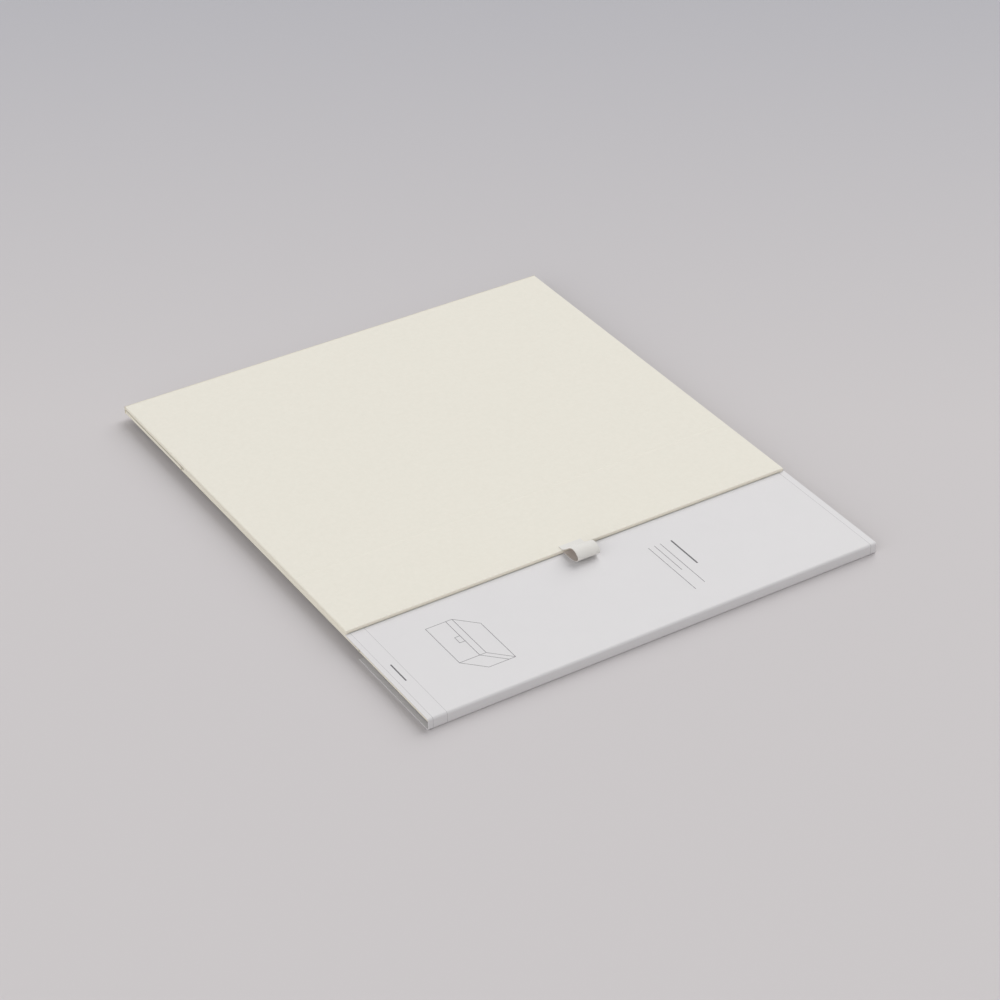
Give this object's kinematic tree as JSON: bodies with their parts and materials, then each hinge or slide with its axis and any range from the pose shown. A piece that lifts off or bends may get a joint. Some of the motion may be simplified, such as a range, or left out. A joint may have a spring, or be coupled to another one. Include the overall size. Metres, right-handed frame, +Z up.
{
  "type": "collapsible storage box",
  "caption": "Flat-folded linen storage box with a hinged lid, a magnetic front flap with a pull ribbon, folding walls and a paper sleeve round the front wall.",
  "frame": {"origin": "middle of the underside of the whole, on the surface it lies on", "axes": "+X to the right seen from the front, +Y from the front wall to the spine, +Z up"},
  "size_m": [0.4416, 0.5264, 0.0223],
  "materials": {
    "linen": "fine woven book linen, matt",
    "greyboard": "grey bookbinder's board",
    "lining_paper": "uncoated paper",
    "crease_cloth": "linen over a fold",
    "felt": "thin dark felt",
    "magnet": "nickel plate",
    "plate_steel": "plain steel",
    "ribbon": "woven ribbon, fine ribs",
    "sleeve_card": "thin smooth card with fine printed lines"
  },
  "bodies": {
    "base": {"riser_felt": "felt", "riser_board": "greyboard", "base_cover": "linen", "base_board": "greyboard", "base_lining": "lining_paper", "front_crease_strip": "crease_cloth", "back_crease_strip": "crease_cloth", "left_crease_strip": "crease_cloth", "right_crease_strip": "crease_cloth"},
    "back_wall": {"back_wall_cover": "linen", "back_wall_board": "greyboard", "back_wall_lining": "lining_paper", "back_left_gusset": "crease_cloth", "back_right_gusset": "crease_cloth"},
    "spine": {"spine_strip": "crease_cloth"},
    "lid": {"lid_cover": "linen", "lid_board": "greyboard", "lid_lining": "lining_paper", "flap_crease_strip": "crease_cloth"},
    "flap": {"flap_cover": "linen", "flap_board": "greyboard", "flap_lining": "lining_paper", "flap_magnets": "magnet", "pull_ribbon": "ribbon"},
    "left_wall": {"left_wall_board": "greyboard", "left_wall_lining": "lining_paper"},
    "right_wall": {"right_wall_board": "greyboard", "right_wall_lining": "lining_paper"},
    "front_wall": {"front_wall_cover": "linen", "front_outer_board": "greyboard", "front_inner_board": "greyboard", "front_wall_lining": "lining_paper", "closure_plates": "plate_steel", "front_left_gusset": "crease_cloth", "front_right_gusset": "crease_cloth"},
    "sleeve_wrap": {"sleeve": "sleeve_card"}
  },
  "joints": [
    {"name": "back_wall_fold", "type": "hinge", "parent": "base", "child": "back_wall", "pos_m": [0, 0.15315, 0.0058], "axis": [1, 0, 0], "range_deg": [0, 90]},
    {"name": "spine_fold", "type": "hinge", "parent": "back_wall", "child": "spine", "pos_m": [0, 0.26165, 0.0058], "axis": [-1, 0, 0], "range_deg": [0, 90]},
    {"name": "lid_open", "type": "hinge", "parent": "spine", "child": "lid", "pos_m": [0, 0.26315, 0.0139], "axis": [-1, 0, 0], "range_deg": [0, 180]},
    {"name": "flap_fold", "type": "hinge", "parent": "lid", "child": "flap", "pos_m": [0, -0.04835, 0.0139], "axis": [-1, 0, 0], "range_deg": [0, 120]},
    {"name": "left_wall_fold", "type": "hinge", "parent": "base", "child": "left_wall", "pos_m": [-0.21775, 0, 0.00785], "axis": [0, -1, 0], "range_deg": [0, 90]},
    {"name": "right_wall_fold", "type": "hinge", "parent": "base", "child": "right_wall", "pos_m": [0.21775, 0, 0.00785], "axis": [0, 1, 0], "range_deg": [0, 90]},
    {"name": "front_wall_fold", "type": "hinge", "parent": "base", "child": "front_wall", "pos_m": [0, -0.15335, 0.0058], "axis": [-1, 0, 0], "range_deg": [0, 90]},
    {"name": "sleeve_slide", "type": "slide", "parent": "front_wall", "child": "sleeve_wrap", "axis": [0, -1, 0], "range_m": [0, 0.27]}
  ],
  "couplings": [
    {"joint": "spine_fold", "follows": "back_wall_fold", "ratio": 1},
    {"joint": "left_wall_fold", "follows": "back_wall_fold", "ratio": 1},
    {"joint": "right_wall_fold", "follows": "back_wall_fold", "ratio": 1},
    {"joint": "sleeve_slide", "follows": "front_wall_fold", "m_per_rad": 0.1715}
  ]
}
